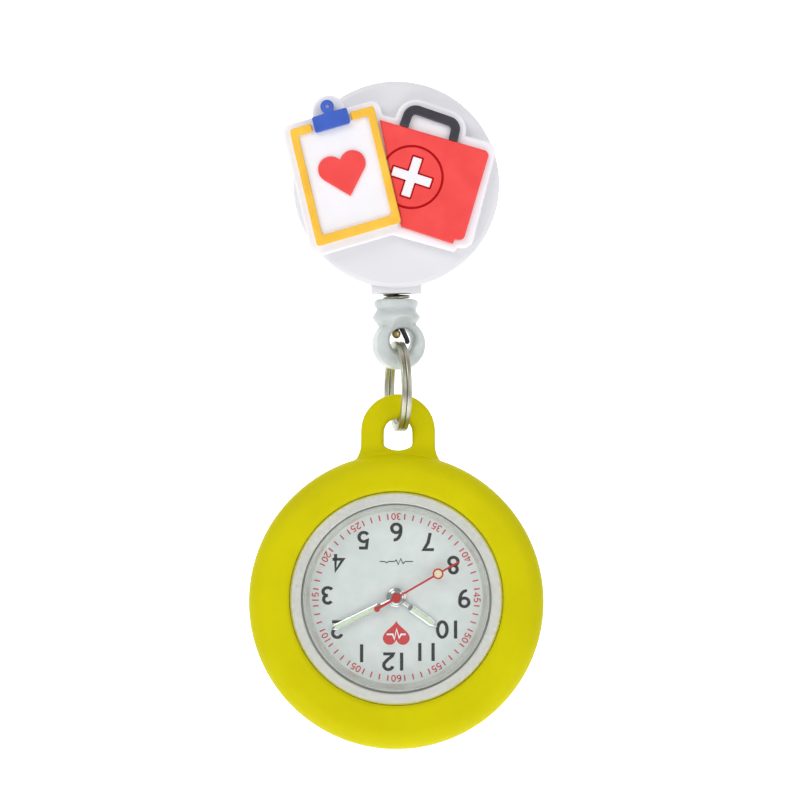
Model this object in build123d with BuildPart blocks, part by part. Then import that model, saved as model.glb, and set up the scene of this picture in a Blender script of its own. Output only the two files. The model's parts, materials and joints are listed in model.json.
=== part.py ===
from build123d import *
import math
import os

# Fob watch that hangs from a retractable badge reel, worn on a pocket.
# From the top: a spring clip, a round reel with a soft rubber badge, the reel's
# cord with a rubber connector, a split ring, and a watch in a silicone cover.
# Millimetres. Seen from the front, +X is to the right, -Y is the front and +Z is up.
# The origin is where the clip's jaws meet, in the middle of their width.

os.makedirs("parts", exist_ok=True)

# Driving dimensions -----------------------------------------------------------
CORD_Y = -9.0            # plane of the cord, the ring and the watch
REEL_Z = 12.0            # axis of the reel
HANG_Z = REEL_Z + 0.35   # datum of everything that hangs below the reel

REEL_R = 16.0
REEL_HALF = 4.5          # half of the housing's depth
WALL = 1.2
SPOOL_R = 12.8
POST_R = 1.5
RUNNING = 0.06           # radial clearance of everything that turns
CORD_R = 0.4
WINDING_R = (8.65, 9.35, 10.05)
NOZZLE_W = 7.8
NOZZLE_D = 6.4
NOZZLE_Z = HANG_Z - 17.16
CORD_MOUTH = NOZZLE_Z + 0.12   # where the moving cord starts, just inside the nozzle

CONNECTOR_TOP = HANG_Z - 18.06
EYE_Z = HANG_Z - 25.13
EYE_X = 0.4
EYE_R = 3.95
EYE_HALF = 2.2
EYE_HOLE_Z = HANG_Z - 24.5
EYE_HOLE_X = 0.6
EYE_HOLE_R = 1.9
BEAD_Z = HANG_Z - 23.5
BEAD_R = 0.7

RING_Z = HANG_Z - 31.68
RING_MEAN_R = 6.45
RING_BAND = 1.25         # radial width of the ring's wire
RING_TURN = 0.75         # thickness of one turn
RING_YAW = 10.5          # the ring's front leg stands to the right
RING_X = 0.35
RING_END = -30.0         # its wire ends behind the loop of the cover
EYE_YAW = 15.0           # the connector's eye faces a little to the right

COVER_Z = HANG_Z - 65.2
COVER_R = 22.95
COVER_HALF = 5.6
LOOP_Z = HANG_Z - 38.66
LOOP_R = 5.78
LOOP_X = 0.28
LOOP_HALF = 2.3
ARCH_Z = HANG_Z - 38.9
ARCH_R = 2.22
ARCH_SIDE_Z = HANG_Z - 41.0
ARCH_FLOOR_Z = HANG_Z - 41.7

WATCH_Z = HANG_Z - 64.55
CASE_R = 17.5
CASE_BACK = -3.9         # distances along the watch's axis count from the cord plane
CASE_FRONT = 3.4
BEZEL_R = 16.5
BEZEL_FRONT = 5.4
CRYSTAL_R = 14.45
LIP_R = CRYSTAL_R - 0.2  # ledge of the bezel under the crystal
SEAT_R = CRYSTAL_R + 0.3
DIAL_BACK = 1.6
DIAL_FRONT = 2.0
MOVEMENT_R = 10.4
CROWN_W = -0.3           # height of the stem in the case

CLIP_PLATE = 0.8
CLIP_Y = 3.2             # middle of each plate, either side of the jaws
PIN_Z = 15.5
CLIP_TOP = 21.5

CHARM_BACK = REEL_HALF
CHARM_BASE = 1.7
KIT_RISE = 0.7
BOARD_RISE = 1.1
BADGE_Z = REEL_Z + 0.33  # datum of the badge's drawing
BOARD_AT = (-7.85, 0.73)
BOARD_SIZE = (13.55, 18.55)
BOARD_TILT = 16.2        # the clipboard's top edge against the level
BOARD_LEAN = 13.4        # its sides against the upright: it is drawn slightly askew
KIT_TILT = -18.0
KIT_CIRCLE = (2.37, 0.62)

# Times on the dial, as angles clockwise from twelve
HOUR_ANGLE, MINUTE_ANGLE, SECOND_ANGLE = 305.33, 64.0, 240.0


# Planes and small building steps ----------------------------------------------
def facing(z, out=0.0):
    """Plane seen square on: x to the right, y up, `out` in front of the cord."""
    return Plane(origin=(0, CORD_Y - out, z), x_dir=(1, 0, 0), z_dir=(0, -1, 0))


def band(inner, outer, back, front):
    """Outline of a plain ring, as (radius, distance in front of the cord)."""
    return [(inner, back), (outer, back), (outer, front), (inner, front)]


def turn(z, points, mode=Mode.ADD, x=0.0):
    """Turn an outline of (radius, distance in front) about the front-back axis at x, z."""
    section = Plane(origin=(x, CORD_Y, z), x_dir=(1, 0, 0), z_dir=(0, 0, -1))
    with BuildSketch(section) as outline:
        with BuildLine():
            Polyline(*points, close=True)
        make_face()
    revolve(outline.sketch, axis=Axis((x, CORD_Y, z), (0, -1, 0)), mode=mode)


def spin(points, mode=Mode.ADD):
    """Turn an outline of (radius, z) about the cord's own line."""
    with BuildSketch(facing(0)) as outline:
        with BuildLine():
            Polyline(*points, close=True)
        make_face()
    revolve(outline.sketch, axis=Axis((0, CORD_Y, 0), (0, 0, 1)), mode=mode)


def drum(u, v, radius, back, front, mode=Mode.ADD):
    """Round step about the front-back axis, at (u, v) from the watch's axis."""
    with Locations(facing(WATCH_Z, back).location * Location((u, v, 0))):
        Cylinder(radius, front - back, align=(Align.CENTER, Align.CENTER, Align.MIN), mode=mode)


def crosswise(radius, half_length, y, z, mode=Mode.ADD):
    """Round bar along X."""
    with Locations(Location((0, y, z), (0, 90, 0))):
        Cylinder(radius, 2 * half_length, mode=mode)


def save(piece, name):
    piece.part.label = name
    export_step(piece.part, f"parts/{name}.step")


# Clip ---------------------------------------------------------------------------
def jaw(side, top, half_width):
    """One stamped jaw: a plate that bends in to the line where the jaws meet."""
    lip = side * (CLIP_PLATE / 2 + 0.03)
    with BuildSketch(Plane.YZ) as outline:
        with BuildLine():
            Polyline(*top, (side * CLIP_Y, 6.0), (lip, 1.6), (lip, -1.2))
        trace(line_width=CLIP_PLATE)
    extrude(outline.sketch, amount=half_width, both=True)


def ear(side, x, reach):
    """Cheek that carries the hinge pin, from the plate to just past the pin."""
    with BuildSketch(Plane.YZ.offset(x)) as outline:
        with Locations((0, PIN_Z)):
            Circle(reach)
        with Locations((side * (CLIP_Y - 0.2) / 2, PIN_Z)):
            Rectangle(CLIP_Y - 0.2, 2 * reach)
    extrude(outline.sketch, amount=0.6)


with BuildPart() as clip_base:
    jaw(-1, [(-CLIP_Y, CLIP_TOP)], 5.0)
    for ear_x in (-5.0, 4.4):
        ear(-1, ear_x, 1.9)
    crosswise(0.75, 6, 0, PIN_Z, mode=Mode.SUBTRACT)
    with Locations(Location((0, -CLIP_Y, REEL_Z), (90, 0, 0))):
        Cylinder(1.2, 2, mode=Mode.SUBTRACT)
    with Locations(*[Location((x, -0.4, -1.2)) for x in (-4, -2, 0, 2, 4)]):
        Box(0.9, 1.2, 0.7, mode=Mode.SUBTRACT)
    with BuildSketch(Plane.XZ.offset(CLIP_Y + 2)) as corners:
        with Locations((0, CLIP_TOP)):
            Rectangle(12, 6)
        with Locations((0, CLIP_TOP - 2.5)):
            RectangleRounded(10, 5, 2.4, mode=Mode.SUBTRACT)
        with Locations((0, CLIP_TOP - 4)):
            Rectangle(14, 4, mode=Mode.SUBTRACT)
    extrude(corners.sketch, amount=-4, mode=Mode.SUBTRACT)
save(clip_base, "clip_base")

with BuildPart() as clip_lever:
    jaw(1, [(CLIP_Y + 1.8, CLIP_TOP + 2.5), (CLIP_Y, 17.6)], 4.2)
    for ear_x in (-4.2, 3.6):
        ear(1, ear_x, 1.7)
    crosswise(0.75 + RUNNING, 6, 0, PIN_Z, mode=Mode.SUBTRACT)
    with Locations(*[Location((x, 0.4, -1.2)) for x in (-3, -1, 1, 3)]):
        Box(0.9, 1.2, 0.7, mode=Mode.SUBTRACT)
    with Locations(Location((0, CLIP_Y, 10.0), (90, 0, 0))):
        Cylinder(1.6, 2, mode=Mode.SUBTRACT)
save(clip_lever, "clip_lever")

with BuildPart() as clip_pin:
    crosswise(0.75, 5.5, 0, PIN_Z)
    for head_x in (-5.3, 5.3):
        with Locations(Location((head_x, 0, PIN_Z), (0, 90, 0))):
            Cylinder(1.15, 0.5)
save(clip_pin, "clip_pin")

SPRING_WIRE = 0.24
with BuildPart() as clip_spring:
    for coil in range(9):
        with Locations(Location((-2.2 + 0.55 * coil, 0, PIN_Z), (0, 90, 0))):
            Torus(1.25, SPRING_WIRE)
    for leg_x, side in ((-2.2, -1), (2.2, 1)):
        with BuildSketch(Plane.XY.offset(PIN_Z)) as leg:
            with Locations((leg_x, side * 1.25)):
                Circle(SPRING_WIRE)
        extrude(leg.sketch, amount=4.2, dir=(0, side * 0.19, 0.98))
    crosswise(1.05, 2.4, 0, PIN_Z)
    crosswise(0.8, 3, 0, PIN_Z, mode=Mode.SUBTRACT)
save(clip_spring, "clip_spring")

BOSS_BACK = -(REEL_HALF + 0.5)
with BuildPart() as swivel_rivet:
    turn(REEL_Z, [(0, BOSS_BACK - 1.75), (1.9, BOSS_BACK - 1.75), (1.9, BOSS_BACK - 1.2),
                  (1.2, BOSS_BACK - 1.2), (1.2, BOSS_BACK - 0.4), (3.4, BOSS_BACK - 0.4),
                  (3.4, BOSS_BACK - RUNNING), (1.2, BOSS_BACK - RUNNING),
                  (1.2, WALL - REEL_HALF + RUNNING), (2.0, WALL - REEL_HALF + RUNNING),
                  (2.0, WALL - REEL_HALF + 0.6), (0, WALL - REEL_HALF + 0.6)])
save(swivel_rivet, "swivel_rivet")


# Reel -----------------------------------------------------------------------------
def nozzle_half(side):
    """Half of the cord's outlet, which the two shells close around the eyelet."""
    top = REEL_Z - REEL_R + 1.6
    with Locations(Location((0, CORD_Y - side * NOZZLE_D / 4, (top + NOZZLE_Z) / 2))):
        Box(NOZZLE_W, NOZZLE_D / 2, top - NOZZLE_Z)


def nozzle_bore():
    """Seat of the eyelet and of the spring that cushions the connector."""
    spin([(0, REEL_Z - 13), (1.6, REEL_Z - 13), (1.6, NOZZLE_Z + 1.4), (2.35, NOZZLE_Z + 1.4),
          (2.35, NOZZLE_Z - 1), (0, NOZZLE_Z - 1)], mode=Mode.SUBTRACT)


with BuildPart() as reel_back_shell:
    turn(REEL_Z, [(0, -REEL_HALF), (REEL_R - 1.4, -REEL_HALF), (REEL_R - 0.4, 0.4 - REEL_HALF),
                  (REEL_R, 1.4 - REEL_HALF), (REEL_R, -0.15), (REEL_R - 0.15, 0), (0, 0)])
    nozzle_half(-1)
    turn(REEL_Z, [(0, WALL - REEL_HALF), (REEL_R - WALL, WALL - REEL_HALF),
                  (REEL_R - WALL, 1), (0, 1)], mode=Mode.SUBTRACT)
    turn(REEL_Z, band(0, 4.5, BOSS_BACK, WALL - REEL_HALF))
    turn(REEL_Z, band(0, 1.2 + RUNNING, -9, 1), mode=Mode.SUBTRACT)
    nozzle_bore()
save(reel_back_shell, "reel_back_shell")

with BuildPart() as reel_front_shell:
    turn(REEL_Z, [(0, 0), (REEL_R - 0.15, 0), (REEL_R, 0.15), (REEL_R, REEL_HALF - 0.7),
                  (REEL_R - 0.2, REEL_HALF - 0.2), (REEL_R - 0.7, REEL_HALF), (0, REEL_HALF)])
    nozzle_half(1)
    turn(REEL_Z, [(0, -1), (REEL_R - WALL, -1), (REEL_R - WALL, REEL_HALF - WALL),
                  (0, REEL_HALF - WALL)], mode=Mode.SUBTRACT)
    turn(REEL_Z, band(0, POST_R, -2.3, REEL_HALF - WALL))
    nozzle_bore()
save(reel_front_shell, "reel_front_shell")

with BuildPart() as spool:
    turn(REEL_Z, [(POST_R + RUNNING, -2.2), (SPOOL_R, -2.2), (SPOOL_R, -1.6), (8.2, -1.6),
                  (8.2, 2.0), (SPOOL_R, 2.0), (SPOOL_R, 2.6), (7.2, 2.6), (7.2, -1.6),
                  (POST_R + RUNNING, -1.6)])
save(spool, "spool")

SPRING_TURNS = 6
SPRING_INNER, SPRING_OUTER, STRIP = 1.7, 6.7, 0.25
with BuildPart() as power_spring:
    with BuildSketch(facing(REEL_Z, -1.4)) as coil_strip:
        steps = 12 * SPRING_TURNS
        pitch = (SPRING_OUTER - SPRING_INNER) / steps
        inner_edge = [((SPRING_INNER + pitch * i) * math.cos(i * math.pi / 6),
                       (SPRING_INNER + pitch * i) * math.sin(i * math.pi / 6)) for i in range(steps + 1)]
        outer_edge = [((SPRING_INNER + STRIP + pitch * i) * math.cos(i * math.pi / 6),
                       (SPRING_INNER + STRIP + pitch * i) * math.sin(i * math.pi / 6))
                      for i in range(steps + 1)]
        with BuildLine():
            Spline(*inner_edge)
            Spline(*outer_edge)
            Line(inner_edge[0], outer_edge[0])
            Line(inner_edge[-1], outer_edge[-1])
        make_face()
    extrude(coil_strip.sketch, amount=3.4)
save(power_spring, "power_spring")

with BuildPart() as cord_winding:
    for layer_r in WINDING_R:
        for row in (-1.1, -0.3, 0.5, 1.3):
            with Locations(facing(REEL_Z, row)):
                Torus(layer_r, CORD_R - 0.02)
save(cord_winding, "cord_winding")

# The cord leaves the winding on its right and runs down to the eyelet.
LEAVE_R = WINDING_R[-1] + 0.9
FEED_CORNER = 14.2
leave_angle = math.asin(LEAVE_R / FEED_CORNER)
with BuildPart() as cord_feed:
    with BuildLine(facing(REEL_Z)) as feed_path:
        FilletPolyline((LEAVE_R * math.cos(leave_angle), -LEAVE_R * math.sin(leave_angle)),
                       (0, -FEED_CORNER), (0, CORD_MOUTH + 0.04 - REEL_Z), radius=1.6)
    with BuildSketch(Plane(origin=feed_path.line @ 0, z_dir=feed_path.line % 0)):
        Circle(CORD_R)
    sweep(path=feed_path.line)
save(cord_feed, "cord_feed")

with BuildPart() as nozzle_eyelet:
    spin([(0.8, NOZZLE_Z), (1.55, NOZZLE_Z), (1.55, HANG_Z - 14.95), (1.2, HANG_Z - 14.7),
          (0.95, HANG_Z - 14.7), (0.8, HANG_Z - 15.0)])
save(nozzle_eyelet, "nozzle_eyelet")

# Cord end and connector --------------------------------------------------------------
with BuildPart() as pull_cord:
    with BuildSketch(Plane.XY.offset(BEAD_Z + 0.6)) as cord_section:
        with Locations((0, CORD_Y)):
            Circle(CORD_R)
    extrude(cord_section.sketch, amount=CORD_MOUTH - (BEAD_Z + 0.6))
save(pull_cord, "pull_cord")

with BuildPart() as crimp_bead:
    with Locations((0, CORD_Y, BEAD_Z)):
        Sphere(BEAD_R)
    with Locations((0, CORD_Y, BEAD_Z + 1)):
        Box(3, 3, 0.8, mode=Mode.SUBTRACT)
save(crimp_bead, "crimp_bead")

BUMPER_WIRE = 0.25
with BuildPart() as bumper_spring:
    with BuildLine():
        bumper_helix = Helix(pitch=0.78, height=3.12, radius=1.92,
                             center=(0, CORD_Y, CONNECTOR_TOP - 1.15))
    with BuildSketch(Plane(origin=bumper_helix @ 0, z_dir=bumper_helix % 0)):
        Circle(BUMPER_WIRE)
    sweep(path=bumper_helix, is_frenet=True)
save(bumper_spring, "bumper_spring")

with BuildPart() as straight_connector:
    with BuildSketch(facing(0)) as neck:
        with BuildLine():
            neck_edge = Spline((3.0, CONNECTOR_TOP), (3.45, HANG_Z - 18.96), (3.1, HANG_Z - 19.7),
                               (3.75, HANG_Z - 20.75), (2.9, HANG_Z - 22.15), (3.1, HANG_Z - 23.3))
            Polyline(neck_edge @ 1, (0, HANG_Z - 23.3), (0, CONNECTOR_TOP), neck_edge @ 0)
        make_face()
    revolve(neck.sketch, axis=Axis((0, CORD_Y, 0), (0, 0, 1)))
    with BuildSketch(facing(EYE_Z, -EYE_HALF)) as eye:
        with Locations((EYE_X, 0)):
            Circle(EYE_R)
    extrude(eye.sketch, amount=2 * EYE_HALF)
    eye_rims = straight_connector.edges().filter_by(GeomType.CIRCLE)
    eye_rims = [e for e in eye_rims if abs(e.radius - EYE_R) < 0.01 and abs(e.arc_center.Z - EYE_Z) < 0.01]
    fillet(eye_rims, 0.9)
    flare = [(EYE_HOLE_R + 2.2, 4.0), (EYE_HOLE_R + 0.7, EYE_HALF), (EYE_HOLE_R + 0.25, 1.75),
             (EYE_HOLE_R + 0.06, 1.2), (EYE_HOLE_R, 0.6)]
    turn(EYE_HOLE_Z, [(0, 4.0), *flare, *[(r, -w) for r, w in reversed(flare)], (0, -4.0)],
         mode=Mode.SUBTRACT, x=EYE_HOLE_X)
    spin(band(0, CORD_R + 0.1, EYE_HOLE_Z, CONNECTOR_TOP), mode=Mode.SUBTRACT)
    spin(band(0, 2.3, CONNECTOR_TOP - 1.45, CONNECTOR_TOP + 1), mode=Mode.SUBTRACT)

with BuildPart() as connector:
    add(straight_connector.part.rotate(Axis((0, CORD_Y, 0), (0, 0, 1)), EYE_YAW))
save(connector, "connector")

# Split ring: two flat turns side by side, in an upright plane
ring_yaw = math.radians(RING_YAW)
RING_AXIS = (math.cos(ring_yaw), math.sin(ring_yaw), 0)
RING_PITCH = RING_TURN + 0.03
with BuildPart() as split_ring:
    half_span = 0.98 * RING_PITCH
    ring_start = (RING_X - half_span * RING_AXIS[0], CORD_Y - half_span * RING_AXIS[1], RING_Z)
    coiled_wire = Helix(pitch=RING_PITCH, height=2 * half_span, radius=RING_MEAN_R,
                        center=ring_start, direction=RING_AXIS)
    ring_helix = coiled_wire.rotate(Axis((RING_X, CORD_Y, RING_Z), RING_AXIS), RING_END)
    with BuildSketch(Plane(origin=ring_helix @ 0, x_dir=RING_AXIS, z_dir=ring_helix % 0)):
        RectangleRounded(RING_TURN, RING_BAND, 0.2)
    sweep(path=ring_helix, is_frenet=True)
save(split_ring, "split_ring")

# Silicone cover ---------------------------------------------------------------------
with BuildPart() as silicone_cover:
    with BuildSketch(facing(COVER_Z, -COVER_HALF)) as cover_disc:
        Circle(COVER_R)
    extrude(cover_disc.sketch, amount=2 * COVER_HALF)
    fillet(silicone_cover.edges().filter_by(GeomType.CIRCLE), 3.2)
    with BuildSketch(facing(0, -LOOP_HALF)) as loop_plan:
        with Locations((LOOP_X, LOOP_Z)):
            Circle(LOOP_R)
        with Locations((LOOP_X, LOOP_Z - 3.5)):
            Rectangle(2 * LOOP_R, 7)
        with Locations((0, COVER_Z)):
            Circle(COVER_R - 0.8)
        roots = [v for v in loop_plan.vertices() if abs(v.X - LOOP_X) > LOOP_R - 0.1 and v.Y < LOOP_Z - 1]
        fillet(roots, 4.4)
    extrude(loop_plan.sketch, amount=2 * LOOP_HALF)
    loop_rims = [e for e in silicone_cover.edges().filter_by(GeomType.CIRCLE)
                 if abs(e.radius - LOOP_R) < 0.01]
    fillet(loop_rims, 0.7)
    left, right = LOOP_X - ARCH_R, LOOP_X + ARCH_R
    with BuildSketch(facing(0, -8)) as arch:
        with BuildLine():
            ThreePointArc((left, ARCH_Z), (LOOP_X, ARCH_Z + ARCH_R), (right, ARCH_Z))
            Line((right, ARCH_Z), (right, ARCH_SIDE_Z))
            ThreePointArc((right, ARCH_SIDE_Z), (LOOP_X, ARCH_FLOOR_Z), (left, ARCH_SIDE_Z))
            Line((left, ARCH_SIDE_Z), (left, ARCH_Z))
        make_face()
    extrude(arch.sketch, amount=16, mode=Mode.SUBTRACT)
    arch_rims = [e for e in silicone_cover.edges().filter_by(GeomType.CIRCLE)
                 if abs(e.radius - ARCH_R) < 0.01]
    fillet(arch_rims, 0.8)
    # the watch's seat: front window, pocket for the case, and window in the back
    turn(WATCH_Z, band(0, CASE_R + 0.05, CASE_BACK - 0.05, CASE_FRONT + 0.05), mode=Mode.SUBTRACT)
    turn(WATCH_Z, [(0, 0), (BEZEL_R + 0.05, 0), (BEZEL_R + 0.05, 5.1), (BEZEL_R + 0.6, 5.7), (0, 5.7)],
         mode=Mode.SUBTRACT)
    turn(WATCH_Z, [(0, 0), (13.6, 0), (13.6, -4.6), (14.7, -5.7), (0, -5.7)], mode=Mode.SUBTRACT)
    # the crown's pocket, open at the back so that a fingernail can pull it
    with BuildSketch(facing(WATCH_Z, -6)) as crown_slot:
        with Locations((-CASE_R - 1.9, 0)):
            SlotOverall(4.6, 4.4, rotation=90)
        with Locations((-CASE_R - 1.2, 0)):
            Rectangle(3.0, 4.4)
    extrude(crown_slot.sketch, amount=6 + CROWN_W + 2.2, mode=Mode.SUBTRACT)
save(silicone_cover, "silicone_cover")

# Watch case -------------------------------------------------------------------------
with BuildPart() as case_body:
    turn(WATCH_Z, [(15.1, -2.45), (15.7, -2.45), (15.7, -3.05), (16.0, -3.05), (16.0, CASE_BACK),
                   (CASE_R - 0.5, CASE_BACK), (CASE_R, CASE_BACK + 0.5), (CASE_R, CASE_FRONT - 0.3),
                   (CASE_R - 0.3, CASE_FRONT), (15.1, CASE_FRONT)])
    with Locations(Location((-16.5, CORD_Y - CROWN_W, WATCH_Z), (0, 90, 0))):
        Cylinder(0.62, 4, mode=Mode.SUBTRACT)
save(case_body, "case_body")

with BuildPart() as bezel:
    turn(WATCH_Z, [(LIP_R, CASE_FRONT), (BEZEL_R, CASE_FRONT), (BEZEL_R, BEZEL_FRONT - 0.35),
                   (BEZEL_R - 0.3, BEZEL_FRONT), (SEAT_R + 0.15, BEZEL_FRONT),
                   (SEAT_R, BEZEL_FRONT - 0.2), (SEAT_R, 4.05), (LIP_R, 4.05)])
save(bezel, "bezel")

with BuildPart() as crystal_gasket:
    turn(WATCH_Z, band(CRYSTAL_R + 0.01, SEAT_R - 0.01, 4.06, 4.9))
save(crystal_gasket, "crystal_gasket")

with BuildPart() as crystal:
    turn(WATCH_Z, [(0, 4.06), (CRYSTAL_R, 4.06), (CRYSTAL_R, 4.85), (CRYSTAL_R - 0.35, 5.2), (0, 5.2)])
save(crystal, "crystal")

with BuildPart() as dial_ring:
    turn(WATCH_Z, [(13.45, DIAL_FRONT), (15.0, DIAL_FRONT), (15.0, 3.35), (LIP_R - 0.05, 3.35),
                   (LIP_R - 0.05, 4.04), (LIP_R - 0.25, 4.04)])
save(dial_ring, "dial_ring")

with BuildPart() as dial:
    turn(WATCH_Z, band(1.45, 15.0, DIAL_BACK, DIAL_FRONT))
save(dial, "dial")

with BuildPart() as case_back:
    turn(WATCH_Z, [(0, CASE_BACK - 0.25), (13.0, CASE_BACK - 0.25), (13.4, CASE_BACK),
                   (15.95, CASE_BACK), (15.95, -3.07), (0, -3.07)])
    for groove_r in (10.6, 11.6):
        turn(WATCH_Z, band(groove_r, groove_r + 0.35, CASE_BACK - 0.4, CASE_BACK - 0.13),
             mode=Mode.SUBTRACT)
save(case_back, "case_back")

with BuildPart() as case_back_gasket:
    turn(WATCH_Z, band(15.15, 15.65, -3.03, -2.5))
save(case_back_gasket, "case_back_gasket")

# Movement -----------------------------------------------------------------------------
SECOND_WHEEL_R, INTERMEDIATE_PINION_R = 3.4, 0.68
INTERMEDIATE_AT = (SECOND_WHEEL_R + INTERMEDIATE_PINION_R, 0)
INTERMEDIATE_WHEEL_R, ROTOR_PINION_R = 2.4, 0.4
ROTOR_AT = (INTERMEDIATE_AT[0] + 1.4, 2.425)
THIRD_DISTANCE = 4.25
THIRD_AT = (-THIRD_DISTANCE * math.cos(math.radians(30)), THIRD_DISTANCE * math.sin(math.radians(30)))
MINUTE_WHEEL_AT = (3.6 * math.cos(math.radians(60)), -3.6 * math.sin(math.radians(60)))
BATTERY_AT, BATTERY_R = (-4.3, -5.45), 3.4
MESH = 0.03              # each wheel is drawn at its pitch circle, less this gap
PIVOTS = (INTERMEDIATE_AT, ROTOR_AT, THIRD_AT)

with BuildPart() as movement_holder:
    turn(WATCH_Z, [(MOVEMENT_R + 0.05, -2.4), (15.05, -2.4), (15.05, 1.55), (MOVEMENT_R + 0.05, 1.55)])
    with Locations(Location((-13, CORD_Y - CROWN_W, WATCH_Z), (0, 90, 0))):
        Cylinder(0.9, 8, mode=Mode.SUBTRACT)
    with Locations(Location((-12.05, CORD_Y - CROWN_W, WATCH_Z + 0.3))):
        Box(2.0, 1.7, 3.2, mode=Mode.SUBTRACT)
save(movement_holder, "movement_holder")

with BuildPart() as main_plate:
    drum(0, 0, MOVEMENT_R, 0.5, 1.0)
    drum(0, 0, 0.9, 0, 2, mode=Mode.SUBTRACT)
    for pivot in PIVOTS:
        drum(*pivot, 0.2, 0, 2, mode=Mode.SUBTRACT)
    drum(*MINUTE_WHEEL_AT, 0.25, 1.0, 1.55)
    with Locations(*[facing(WATCH_Z, -2.0).location * Location((9.0 * math.cos(a), 9.0 * math.sin(a), 0))
                     for a in (0.5, 2.5, 3.3, 4.75)]):
        Cylinder(0.7, 2.5, align=(Align.CENTER, Align.CENTER, Align.MIN))
save(main_plate, "main_plate")

with BuildPart() as train_bridge:
    drum(0, 0, MOVEMENT_R, -2.4, -2.0)
    drum(*BATTERY_AT, BATTERY_R + 0.1, -3, 0, mode=Mode.SUBTRACT)
    for pivot in PIVOTS + ((0, 0),):
        drum(*pivot, 0.2, -3, 0, mode=Mode.SUBTRACT)
save(train_bridge, "train_bridge")

with BuildPart() as rotor:
    drum(*ROTOR_AT, 1.0, -0.9, 0.1)
    drum(*ROTOR_AT, ROTOR_PINION_R - MESH, -1.5, -0.9)
    drum(*ROTOR_AT, 0.14, -2.3, 0.9)
save(rotor, "rotor")

with BuildPart() as intermediate_wheel:
    drum(*INTERMEDIATE_AT, INTERMEDIATE_WHEEL_R - MESH, -1.35, -1.15)
    drum(*INTERMEDIATE_AT, INTERMEDIATE_PINION_R - MESH, -1.15, -0.65)
    drum(*INTERMEDIATE_AT, 0.14, -2.3, 0.9)
save(intermediate_wheel, "intermediate_wheel")

with BuildPart() as third_wheel:
    drum(*THIRD_AT, 3.75 - MESH, -0.55, -0.4)
    drum(*THIRD_AT, 0.472 - MESH, -0.4, 0.4)
    drum(*THIRD_AT, 0.14, -2.3, 0.9)
save(third_wheel, "third_wheel")

with BuildPart() as second_arbor:
    drum(0, 0, SECOND_WHEEL_R - MESH, -0.95, -0.8)
    drum(0, 0, 0.5 - MESH, -0.8, -0.3)
    drum(0, 0, 0.14, -2.3, -0.9)
    drum(0, 0, 0.25, -0.3, 3.45)
save(second_arbor, "second_arbor")

with BuildPart() as cannon_pinion:
    drum(0, 0, 3.78 - MESH, 0.1, 0.3)
    drum(0, 0, 0.75, 0.3, 1.05)
    drum(0, 0, 0.9 - MESH, 1.05, 1.25)
    drum(0, 0, 0.6, 1.25, 3.0)
    drum(0, 0, 0.25 + RUNNING, 0, 4, mode=Mode.SUBTRACT)
save(cannon_pinion, "cannon_pinion")

with BuildPart() as hour_wheel:
    drum(0, 0, 2.88 - MESH, 1.32, 1.47)
    drum(0, 0, 1.1, 1.47, 2.55)
    drum(0, 0, 0.6 + RUNNING, 1, 4, mode=Mode.SUBTRACT)
save(hour_wheel, "hour_wheel")

with BuildPart() as minute_wheel:
    drum(*MINUTE_WHEEL_AT, 2.7 - MESH, 1.04, 1.22)
    drum(*MINUTE_WHEEL_AT, 0.72 - MESH, 1.22, 1.5)
    drum(*MINUTE_WHEEL_AT, 0.25 + RUNNING, 0, 2, mode=Mode.SUBTRACT)
save(minute_wheel, "minute_wheel")

with BuildPart() as stator:
    with BuildSketch(facing(WATCH_Z, -0.6)) as lamination:
        with Locations(ROTOR_AT):
            Circle(1.9)
        with Locations((6.1, -1.6)):
            Rectangle(2.4, 7.6)
        with Locations(ROTOR_AT):
            Circle(1.2, mode=Mode.SUBTRACT)
    extrude(lamination.sketch, amount=0.25)
save(stator, "stator")

with BuildPart() as coil:
    with BuildSketch(facing(WATCH_Z, -1.95)) as coil_bed:
        with Locations((3.6, -6.6)):
            RectangleRounded(6.6, 1.9, 0.5)
    extrude(coil_bed.sketch, amount=1.9)
save(coil, "coil")

with BuildPart() as circuit_board:
    with BuildSketch(facing(WATCH_Z, -1.95)) as board:
        with Locations((0, 7.2)):
            RectangleRounded(10, 3.4, 0.6)
    extrude(board.sketch, amount=0.3)
save(circuit_board, "circuit_board")

with BuildPart() as quartz_can:
    with Locations(facing(WATCH_Z, -0.95).location * Location((0, 7.4, 0), (0, 90, 0))):
        Cylinder(0.65, 5.6)
save(quartz_can, "quartz_can")

with BuildPart() as battery:
    drum(*BATTERY_AT, BATTERY_R, -2.5, -0.3)
    drum(*BATTERY_AT, BATTERY_R - 0.5, -0.3, 0.0)
save(battery, "battery")

with BuildPart() as battery_clamp:
    with BuildSketch(facing(WATCH_Z, -2.8)) as strap:
        with Locations(BATTERY_AT):
            RectangleRounded(8.6, 1.6, 0.5, rotation=50)
    extrude(strap.sketch, amount=0.25)
save(battery_clamp, "battery_clamp")

# The stem and crown: three o'clock is on the left, because the dial hangs upside down
STEM_R = 0.55
with BuildPart() as stem:
    with Locations(Location((-14.6, CORD_Y - CROWN_W, WATCH_Z), (0, 90, 0))):
        Cylinder(STEM_R, 7.4)
    with Locations(Location((-11.6, CORD_Y - CROWN_W, WATCH_Z), (0, 90, 0))):
        Cylinder(0.8, 0.35, mode=Mode.SUBTRACT)
        Cylinder(0.3, 0.35)
save(stem, "stem")

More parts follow.
